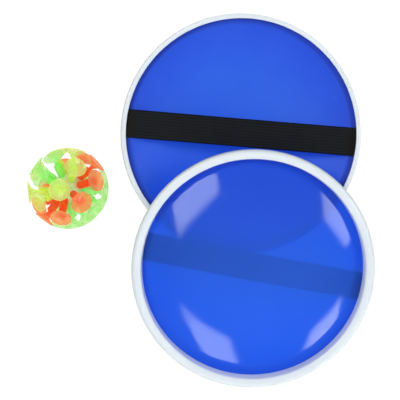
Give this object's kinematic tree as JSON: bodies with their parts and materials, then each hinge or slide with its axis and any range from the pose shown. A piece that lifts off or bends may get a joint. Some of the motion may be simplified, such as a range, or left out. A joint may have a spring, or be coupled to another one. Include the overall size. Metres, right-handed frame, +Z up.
{
  "type": "suction cup catch game",
  "caption": "Catch game: domed see-through paddles in white rims with elastic hand straps, and a ball of coloured suckers that clings to them.",
  "frame": {"origin": "middle of the set's footprint on the surface it lies on", "axes": "+Z up, +Y from the leaning paddle towards the one lying face down, +X from the ball towards the paddles"},
  "size_m": [0.2704, 0.2948, 0.0619],
  "materials": {
    "rim_white": "satin moulded plastic",
    "face_blue": "glossy see-through plastic sheet",
    "strap_black": "ribbed woven elastic",
    "core_clear": "cloudy clear soft plastic",
    "sucker_red": "glossy soft see-through plastic",
    "sucker_yellow": "glossy soft see-through plastic",
    "sucker_green": "glossy soft see-through plastic"
  },
  "bodies": {
    "root": {"lower_paddle_rim": "rim_white", "lower_paddle_face": "face_blue", "lower_paddle_strap": "strap_black", "upper_paddle_rim": "rim_white", "upper_paddle_face": "face_blue", "upper_paddle_strap": "strap_black", "ball_core": "core_clear", "sucker_01": "sucker_green", "sucker_02": "sucker_green", "sucker_03": "sucker_green", "sucker_04": "sucker_green", "sucker_05": "sucker_green", "sucker_06": "sucker_green", "sucker_07": "sucker_green", "sucker_08": "sucker_green", "sucker_09": "sucker_green", "sucker_10": "sucker_green", "sucker_11": "sucker_green", "sucker_12": "sucker_red", "sucker_13": "sucker_red", "sucker_14": "sucker_red", "sucker_15": "sucker_red", "sucker_16": "sucker_red", "sucker_17": "sucker_red", "sucker_18": "sucker_red", "sucker_19": "sucker_red", "sucker_20": "sucker_red", "sucker_21": "sucker_yellow", "sucker_22": "sucker_yellow", "sucker_23": "sucker_yellow", "sucker_24": "sucker_yellow", "sucker_25": "sucker_yellow", "sucker_26": "sucker_yellow", "sucker_27": "sucker_yellow", "sucker_28": "sucker_green", "sucker_29": "sucker_green", "sucker_30": "sucker_green"}
  },
  "joints": []
}
